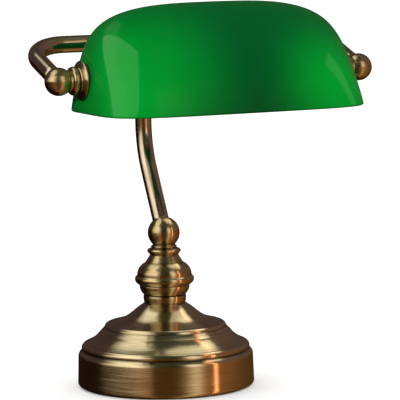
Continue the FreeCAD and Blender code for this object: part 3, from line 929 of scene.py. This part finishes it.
def threaded(r, z, angle):
    """The screw thread of the bulb's cap, which fades out at both ends."""
    root, depth, pitch = 6.45, 0.5, 2.8
    start, end, fade_length = 3.6, 21.6, 1.5
    if r <= 6.2 or not start < z < end:
        return r, z
    fade = min(1.0, (z - start) / fade_length, (end - z) / fade_length)
    return root + depth * fade * (0.5 + 0.5 * math.cos(math.tau * z / pitch - angle)), z


def bulb():
    """An opal candle bulb in the lampholder."""
    screw = soften(trace([
        (0, 0), (2.3, 0), [(2.6, 0.5), (2.3, 1.0)], (5.9, 2.8), (6.45, 3.6), (6.45, 22.8),
        (6.1, 23.2), (6.1, 5.7), (0, 5.7)]), edge=0.2)
    mesh = turned("bulb_cap", screw, segments=96, shape=threaded)
    place("bulb_cap_threaded", mesh, "stand", "bulb_cap", "nickel_cap", [nickel],
          on_pivot(low("bulb_cap").x, 1))
    glass = trace([
        (0, 1.0), (6.0, 1.0), (6.0, 6.4),
        [(8.6, 11.0), (14.3, 23.0), (17.5, 38.0), (14.8, 57.0), (8.2, 71.0), (3.2, 77.6), (0, 79.0)]])
    mesh = turned("bulb_glass", glass, segments=128)
    place("bulb_glass_opal", mesh, "stand", "bulb_glass", "opal_bulb_glass", [bulb_white],
          on_pivot(low("bulb_glass").x, 1))


# ---- nodes kept as they are ----

kept_finishes = {
    "base_weight": iron, "base_nut": zinc, "base_washer": zinc, "threaded_rod": zinc,
    "terminal_block": white_plastic, "terminal_screws": zinc, "earth_screw": zinc,
    "earth_tag": plain_brass, "inner_flex": flex_sheath, "lampholder_thread": plain_brass,
    "lampholder_contact": plain_brass, "nipple_left": zinc, "nipple_right": zinc,
    "outer_washer_left": black_rubber, "outer_washer_right": black_rubber,
    "inner_washer_left": black_rubber, "inner_washer_right": black_rubber,
}


def finish_kept_nodes():
    for node, material in kept_finishes.items():
        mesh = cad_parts[node].data
        mesh.materials.clear()
        mesh.materials.append(material)


# ---- camera, floor and light ----

CAMERA_AZIMUTH = math.radians(-25)
CAMERA_ELEVATION = math.radians(6.75)
CAMERA_ROLL = math.radians(0.88)
CAMERA_DISTANCE = 1.861
AIM_RIGHT = 0.0236
AIM_HEIGHT = 0.11935
SENSOR_WIDTH = 36
FOCAL_LENGTH = 261.3
CLIP_START = 0.05
CLIP_END = 20

to_camera = Vector((math.sin(CAMERA_AZIMUTH), -math.cos(CAMERA_AZIMUTH), 0))
image_right = Vector((math.cos(CAMERA_AZIMUTH), math.sin(CAMERA_AZIMUTH), 0))


def camera():
    data = bpy.data.cameras.new("camera")
    data.sensor_width = SENSOR_WIDTH
    data.lens = FOCAL_LENGTH
    data.clip_start = CLIP_START
    data.clip_end = CLIP_END
    eye = add_object("camera", data)
    back = to_camera * math.cos(CAMERA_ELEVATION) + UP * math.sin(CAMERA_ELEVATION)
    up = back.cross(image_right)
    rolled_right = image_right * math.cos(CAMERA_ROLL) - up * math.sin(CAMERA_ROLL)
    rolled_up = up * math.cos(CAMERA_ROLL) + image_right * math.sin(CAMERA_ROLL)
    aim = image_right * AIM_RIGHT + UP * AIM_HEIGHT
    spot = aim + back * CAMERA_DISTANCE
    rows = Matrix((rolled_right, rolled_up, back)).transposed().to_4x4()
    eye.matrix_world = Matrix.Translation(spot) @ rows
    bpy.context.scene.camera = eye


def heading(azimuth, elevation):
    """Direction from the lamp: azimuth 0 is towards the camera, + is to the picture's right."""
    a, e = math.radians(azimuth), math.radians(elevation)
    level = to_camera * math.cos(a) + image_right * math.sin(a)
    return level * math.cos(e) + UP * math.sin(e)


WHITE = (1, 1, 1)
BASE_MIDDLE = Vector((0, 0, 0.05))
GLASS_MIDDLE = Vector((0, -0.08, 0.21))
STRIP_WIDTH = 0.040
STRIP_DISTANCE = 1.15
STRIP_ORANGE = (1.0, 0.42, 0.20)
POOL_GREEN = (0.6, 1.0, 0.28)
POOL_DISTANCE = 0.8
POOL_EDGE = 0.85
POOL_SOURCE_RADIUS = 0.02


def receivers(name, members):
    """Collection that a light is limited to."""
    group = bpy.data.collections.new(name)
    for member in members:
        group.objects.link(member)
    return group


def area_light(name, matrix, width, height, radiance, lights_only, colour):
    """Rectangular light that the camera doesn't see, as bright to look at as radiance."""
    data = bpy.data.lights.new(name, "AREA")
    data.shape = "RECTANGLE"
    data.size = width
    data.size_y = height
    data.color = colour
    data.energy = radiance * math.pi * width * height
    light = add_object(name, data)
    light.matrix_world = matrix
    light.visible_camera = False
    light.light_linking.receiver_collection = lights_only
    return light


def panel(name, azimuths, elevations, radiance, lights_only, colour, distance=1.2,
          aim=BASE_MIDDLE, roll=0):
    """Softbox that covers that range of directions as seen from aim."""
    azimuth, elevation = sum(azimuths) / 2, sum(elevations) / 2
    reach = distance * math.cos(math.radians(elevation))
    width = 2 * reach * math.tan(math.radians(azimuths[1] - azimuths[0]) / 2)
    height = 2 * distance * math.tan(math.radians(elevations[1] - elevations[0]) / 2)
    direction = heading(azimuth, elevation)
    level = heading(azimuth + 90, 0)
    turn = Matrix((level, direction.cross(level), direction)).transposed().to_4x4()
    turn = turn @ Matrix.Rotation(math.radians(roll), 4, "Z")
    matrix = Matrix.Translation(aim + direction * distance) @ turn
    return area_light(name, matrix, width, height, radiance, lights_only, colour)


def strip(name, start, end, radiance, lights_only):
    """Thin straight orange light between two points, facing the base."""
    centre = (start + end) / 2
    along = (end - start).normalized()
    facing = (centre - BASE_MIDDLE).normalized()
    across = along.cross(facing).normalized()
    facing = across.cross(along).normalized()
    turn = Matrix((along, facing.cross(along), facing)).transposed().to_4x4()
    matrix = Matrix.Translation(centre) @ turn
    length = (end - start).length
    area_light(name, matrix, length, STRIP_WIDTH, radiance, lights_only, STRIP_ORANGE)


def pool(name, aim, azimuth, elevation, angle, power, lights_only):
    """Soft-edged pool of green light on one place, with no reflection of its own."""
    data = bpy.data.lights.new(name, "SPOT")
    data.spot_size = math.radians(angle)
    data.spot_blend = POOL_EDGE
    data.shadow_soft_size = POOL_SOURCE_RADIUS
    data.color = POOL_GREEN
    data.energy = power
    light = add_object(name, data)
    direction = heading(azimuth, elevation)
    turn = direction.to_track_quat("Z", "Y").to_matrix().to_4x4()
    light.matrix_world = Matrix.Translation(aim + direction * POOL_DISTANCE) @ turn
    light.visible_camera = False
    light.visible_glossy = False
    light.light_linking.receiver_collection = lights_only


# What the brass and the glass mirror round the lamp, by azimuth from the camera side: below the
# horizon, at the height of the softboxes, and overhead.
ZENITH = (0.06, 0.07, 0.03)
TABLE = [
    (-180, (0.020, 0.009, 0.006)), (-100, (0.015, 0.007, 0.004)), (-85, (0.055, 0.024, 0.009)),
    (-60, (0.12, 0.06, 0.022)), (-45, (0.20, 0.105, 0.040)), (-30, (0.33, 0.175, 0.075)),
    (-21, (0.30, 0.165, 0.07)), (-14, (0.11, 0.050, 0.013)), (8, (0.10, 0.044, 0.011)),
    (19, (0.16, 0.082, 0.028)), (30, (0.40, 0.25, 0.13)), (41, (0.88, 0.67, 0.42)),
    (53, (0.40, 0.21, 0.09)), (62, (0.27, 0.10, 0.03)), (78, (0.32, 0.145, 0.05)),
    (109, (0.20, 0.086, 0.024)), (132, (0.11, 0.058, 0.018)), (180, (0.05, 0.03, 0.012)),
]
SIDES = [
    (-180, (0.07, 0.045, 0.04)), (-98, (0.08, 0.052, 0.05)), (-86, (0.90, 0.80, 0.62)),
    (-68, (1.6, 1.45, 1.2)), (-38, (1.65, 1.5, 1.3)), (-25, (0.70, 0.56, 0.45)),
    (-15, (0.055, 0.05, 0.03)), (18, (0.05, 0.045, 0.025)), (27, (0.25, 0.21, 0.16)),
    (33, (1.35, 1.22, 1.05)), (46, (1.45, 1.27, 1.05)), (54, (0.55, 0.34, 0.20)),
    (64, (0.28, 0.14, 0.07)), (80, (0.20, 0.12, 0.09)), (140, (0.15, 0.10, 0.085)),
    (180, (0.07, 0.045, 0.04)),
]
OVERHEAD = [
    (-180, ZENITH), (-160, (0.10, 0.10, 0.05)), (-142, (1.2, 1.15, 0.97)),
    (-62, (1.5, 1.42, 1.2)), (-48, (0.30, 0.28, 0.20)), (-38, (0.05, 0.06, 0.03)),
    (34, (0.05, 0.06, 0.03)), (50, (0.16, 0.15, 0.10)), (120, (0.16, 0.15, 0.10)), (180, ZENITH),
]
# Where each blends into the next one up, as heights on a sphere of radius 1.
TABLE_TO_SIDES = (0.0, 0.10)
SIDES_TO_OVERHEAD = (0.66, 0.80)
OVERHEAD_TO_ZENITH = (0.955, 0.985)
# How bright the white paper and sky are, and the sky below the horizon.
WHITE_STRENGTH = 1.12
BELOW_STRENGTH = 0.13


def surroundings(tree, ray, height):
    """Colour that the surroundings show in the direction of ray."""
    right = make(tree, "VectorMath", {0: ray, 1: image_right}, operation="DOT_PRODUCT")
    front = make(tree, "VectorMath", {0: ray, 1: to_camera}, operation="DOT_PRODUCT")
    azimuth = math_node(tree, "ARCTAN2", right.outputs["Value"], front.outputs["Value"])
    turn = span(tree, azimuth, (-math.pi, math.pi), (0.0, 1.0))
    table, sides, overhead = [
        colour_ramp(tree, turn, [(0.5 + at / 360, colour) for at, colour in band])
        for band in (TABLE, SIDES, OVERHEAD)]
    colour = blend_colours(tree, span(tree, height, TABLE_TO_SIDES, (0.0, 1.0)), table, sides)
    colour = blend_colours(tree, span(tree, height, SIDES_TO_OVERHEAD, (0.0, 1.0)), colour, overhead)
    above = span(tree, height, OVERHEAD_TO_ZENITH, (0.0, 1.0))
    return blend_colours(tree, above, colour, (*ZENITH, 1))


def floor():
    """White floor that catches a contact shadow and doesn't mirror in the lamp or light it."""
    reach = 6.0
    corners = [(-reach, -reach, 0), (reach, -reach, 0), (reach, reach, 0), (-reach, reach, 0)]
    mesh = bpy.data.meshes.new("floor")
    mesh.from_pydata(corners, [], [(0, 1, 2, 3)])
    plane = add_object("floor", mesh)
    material = start_material(
        "floor", Roughness=0.9, Specular_IOR_Level=0.0, Base_Color=(0.95, 0.95, 0.95, 1),
        Emission_Color=(*WHITE, 1), Emission_Strength=0.15)[0]
    mesh.materials.append(material)
    plane.visible_glossy = False
    plane.visible_shadow = False
    plane.visible_diffuse = False
    plane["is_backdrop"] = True


def room():
    """Reflections see the surroundings, scattered light a white sky that is dim below the
    horizon, and the camera plain white."""
    world = bpy.data.worlds.new("studio")
    bpy.context.scene.world = world
    world.use_nodes = True
    tree = world.node_tree
    tree.nodes.clear()
    path = make(tree, "LightPath")
    ray = make(tree, "TexCoord").outputs["Generated"]
    height = make(tree, "SeparateXYZ", {0: ray}).outputs["Z"]
    mirrored = make(tree, "Background", {"Color": surroundings(tree, ray, height), "Strength": 1.0})
    strength = span(tree, height, (-0.02, 0.02), (BELOW_STRENGTH, WHITE_STRENGTH))
    sky = make(tree, "Background", {"Color": (*WHITE, 1), "Strength": strength})
    paper = make(tree, "Background", {"Color": (*WHITE, 1), "Strength": WHITE_STRENGTH})
    mix = make(tree, "MixShader", {0: path.outputs["Is Diffuse Ray"], 1: paper.outputs[0],
                                   2: sky.outputs[0]})
    mix = make(tree, "MixShader", {0: path.outputs["Is Glossy Ray"], 1: mix.outputs[0],
                                   2: mirrored.outputs[0]})
    make(tree, "OutputWorld", {"Surface": mix.outputs[0]})
    world.cycles.sampling_method = "NONE"


def lights():
    """Orange strips and an overhead panel for base and column, highlights and pools for the glass."""
    glass_only = [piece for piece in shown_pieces() if piece.name == "glass_shade_blown"]
    lower_words = ("base", "vase", "waist", "neck", "column_ball")
    lower_only = [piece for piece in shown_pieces() if any(word in piece.name for word in lower_words)]
    glass_group = receivers("glass_pieces", glass_only)
    lower_group = receivers("lower_pieces", lower_only)

    foot = BASE_MIDDLE + heading(67, -30)
    corner = BASE_MIDDLE + heading(68, 47) * STRIP_DISTANCE
    end = BASE_MIDDLE + heading(150, 50) * STRIP_DISTANCE
    strip("strip_upright", foot, corner, radiance=5.0, lights_only=lower_group)
    strip("strip_top", corner, end, radiance=3.0, lights_only=lower_group)
    panel("top_right", (86, 166), (48, 80), radiance=1.3, lights_only=lower_group,
          colour=(1.0, 0.96, 0.80))

    to_end = RIGHTWARDS * 0.08
    shine = [
        panel("glass_left", (-92, -2), (-4, 78), radiance=4.2, lights_only=glass_group,
              colour=WHITE, distance=1.0, aim=GLASS_MIDDLE - to_end, roll=20),
        panel("glass_right", (90, 103), (4, 44), radiance=1.6, lights_only=glass_group,
              colour=WHITE, distance=1.0, aim=GLASS_MIDDLE + to_end)]
    for light in shine:
        light.visible_diffuse = False
    pool("glass_pool_left", Vector((-0.072, -0.115, 0.208)), azimuth=-15, elevation=20, angle=8.4,
         power=72, lights_only=glass_group)
    pool("glass_pool_right", Vector((0.060, -0.125, 0.200)), azimuth=30, elevation=20, angle=6.0,
         power=66, lights_only=glass_group)


bpy.context.scene.view_settings.view_transform = "Standard"
camera()
base_shell()
felt_pad()
cable_bushing()
column()
stem()
yoke()
pivots()
glass_shade()
lampholder()
bulb()
finish_kept_nodes()
floor()
room()
lights()
